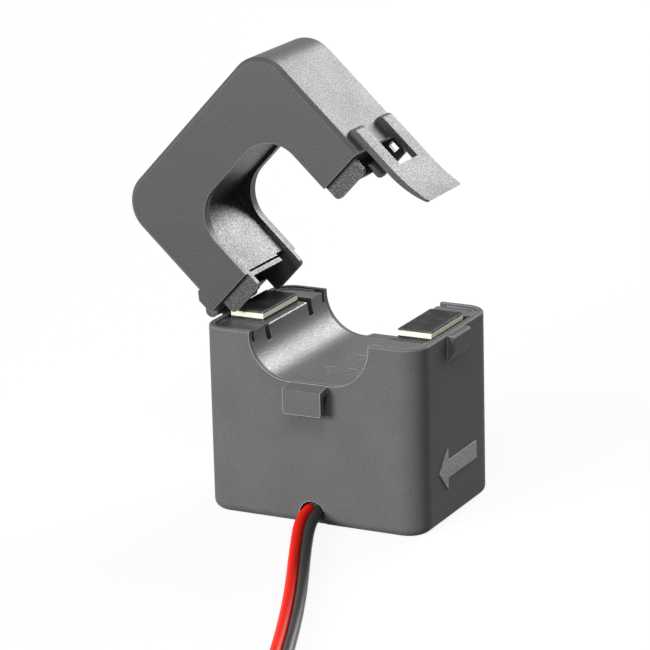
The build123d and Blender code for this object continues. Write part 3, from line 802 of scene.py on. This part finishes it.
# %% Finishes onto the pieces
FINISH_OF = {
    "lower_housing": shell_finish,
    "upper_housing": cover_finish,
    "latch": latch_finish,
    "lower_carrier": liner_finish,
    "upper_retainer": skirt_finish,
    "lower_core": core_finish,
    "upper_core": core_finish,
    "lower_collar_left": collar_finish,
    "lower_collar_right": collar_finish,
    "upper_collar_left": collar_finish,
    "upper_collar_right": collar_finish,
    "bobbin": bobbin_finish,
    "secondary_winding": copper_finish,
    "winding_tape": tape_finish,
    "core_spring": steel_finish,
    "hinge_pin": pin_finish,
    "lead_grip": rubber_finish,
    "splice_red": rubber_finish,
    "splice_black": rubber_finish,
}


def give(piece, material):
    piece.data.materials.clear()
    piece.data.materials.append(material)


for node_name, finish in FINISH_OF.items():
    give(nodes[node_name], finish)
give(red_lead, red_finish)
give(black_lead, black_finish)
give(red_end, tin_finish)
give(black_end, tin_finish)
print("finished", len(FINISH_OF), "solids, two leads and their ends")

# %% [markdown]
# The studio is a white sweep: a floor that turns up into a backdrop behind the object.
# Seen by the camera or in a reflection it's mostly its own white, so that it stays as
# pale as catalogue paper and still takes the object's soft shadow. All other light meets
# a darker grey there and comes back weaker, so the object's lower edges stay dark.

# %% Sweep: its paper
PAPER_WHITE = (0.88, 0.88, 0.88)
BOUNCE_GREY = (0.16, 0.16, 0.16)
GLOW_SHARE = 0.90


def seen_rays(tree):
    """1 for rays that show the background: from the camera, mirrored or passed through."""
    rays = tree.nodes.new("ShaderNodeLightPath").outputs
    mirrored = sums(tree, "MAXIMUM", rays["Is Glossy Ray"], rays["Is Transmission Ray"])
    return sums(tree, "MAXIMUM", rays["Is Camera Ray"], mirrored)


def sweep_material():
    material = bpy.data.materials.new("white_sweep")
    material.use_nodes = True
    tree = material.node_tree
    tree.nodes.clear()
    out = tree.nodes.new("ShaderNodeOutputMaterial")
    paper = tree.nodes.new("ShaderNodeBsdfDiffuse")
    glow = tree.nodes.new("ShaderNodeEmission")
    glow.inputs["Color"].default_value = (1.0, 1.0, 1.0, 1.0)
    glow.inputs["Strength"].default_value = 1.0
    seen = seen_rays(tree)
    colours = blended(tree, seen, BOUNCE_GREY, PAPER_WHITE)
    tree.links.new(colours, paper.inputs["Color"])
    mix = tree.nodes.new("ShaderNodeMixShader")
    tree.links.new(sums(tree, "MULTIPLY", seen, GLOW_SHARE), mix.inputs[0])
    tree.links.new(paper.outputs[0], mix.inputs[1])
    tree.links.new(glow.outputs[0], mix.inputs[2])
    tree.links.new(mix.outputs[0], out.inputs["Surface"])
    return material


# %% [markdown]
# The sweep starts as one edge in front of the object. It's drawn back along the floor,
# spun up through a quarter turn and drawn up into a wall, so that no corner shows. It is
# part of the stage and not of the model.

# %% Sweep: its shape
HALF_WIDTH = 1.6
NEAR_Y = -1.8
TURN_Y = 1.1
TURN_R = 0.5
TURN_STEPS = 16
WALL_HEIGHT = 1.5
JOIN_WITHIN = 0.0001


def sweep_mesh():
    """A flat floor whose far edge is spun up through a quarter turn into a wall."""
    bm = bmesh.new()
    near = [bm.verts.new((x, NEAR_Y, 0.0)) for x in (-HALF_WIDTH, HALF_WIDTH)]
    floor = bmesh.ops.extrude_edge_only(bm, edges=[bm.edges.new(near)])["geom"]
    far = of_kind(floor, bmesh.types.BMVert)
    bmesh.ops.translate(bm, verts=far, vec=(0, TURN_Y - NEAR_Y, 0))
    far_edge = of_kind(floor, bmesh.types.BMEdge)
    centre = (0, TURN_Y, TURN_R)
    bent = bmesh.ops.spin(
        bm, geom=far_edge, cent=centre, axis=(1, 0, 0), angle=math.pi / 2, steps=TURN_STEPS)
    top = of_kind(bent["geom_last"], bmesh.types.BMEdge)
    wall = bmesh.ops.extrude_edge_only(bm, edges=top)["geom"]
    raised = of_kind(wall, bmesh.types.BMVert)
    bmesh.ops.translate(bm, verts=raised, vec=(0, 0, WALL_HEIGHT))
    bmesh.ops.remove_doubles(bm, verts=bm.verts[:], dist=JOIN_WITHIN)
    bmesh.ops.recalc_face_normals(bm, faces=bm.faces[:])
    return bm


sweep = mesh_object("white_sweep", sweep_mesh())
give(sweep, sweep_material())

# %% [markdown]
# Three soft boxes make the photograph's greys. A broad one stands high behind the object,
# where the open half's outer face and the trough mirror it, so that they are the
# brightest parts. One at the front left lights the front wall more than the right one.
# A small one above the front lifts the tops.

# %% Lights
AIM = (0.0, 0.0, 0.035)


def soft_box(name, place, width, height, power):
    lamp = bpy.data.lights.new(name, "AREA")
    lamp.shape = "RECTANGLE"
    lamp.size = width
    lamp.size_y = height
    lamp.energy = power
    box = bpy.data.objects.new(name, lamp)
    box.location = place
    box.rotation_mode = "QUATERNION"
    box.rotation_quaternion = (Vector(AIM) - Vector(place)).to_track_quat("-Z", "Y")
    box.visible_camera = False
    bpy.context.scene.collection.objects.link(box)
    print(name, "watts", power)


soft_box("back_sheen", (0.21, 0.91, 0.50), width=0.55, height=0.45, power=10.8)
soft_box("front_fill", (-0.32, -0.90, 0.30), width=0.40, height=0.35, power=12.0)
soft_box("top_front", (0.16, -0.55, 0.75), width=0.3, height=0.3, power=3.4)

# %% [markdown]
# A plain bright world would flatten the object's greys, and a dark one would show in its
# reflections. So the world lights the object as a dim even grey, and only the camera and
# the reflections see it as white.

# %% World
WORLD_DIM = 0.15
WORLD_SEEN = 1.0


def even_light(tree, strength):
    node = tree.nodes.new("ShaderNodeBackground")
    node.inputs["Color"].default_value = (1.0, 1.0, 1.0, 1.0)
    node.inputs["Strength"].default_value = strength
    return node.outputs[0]


def make_world():
    world = bpy.data.worlds.new("studio")
    bpy.context.scene.world = world
    world.use_nodes = True
    tree = world.node_tree
    tree.nodes.clear()
    out = tree.nodes.new("ShaderNodeOutputWorld")
    mix = tree.nodes.new("ShaderNodeMixShader")
    tree.links.new(seen_rays(tree), mix.inputs[0])
    tree.links.new(even_light(tree, WORLD_DIM), mix.inputs[1])
    tree.links.new(even_light(tree, WORLD_SEEN), mix.inputs[2])
    tree.links.new(mix.outputs[0], out.inputs["Surface"])
    print("world", WORLD_DIM, "for light,", WORLD_SEEN, "where it is seen")


make_world()
bpy.context.scene.view_settings.view_transform = "Standard"
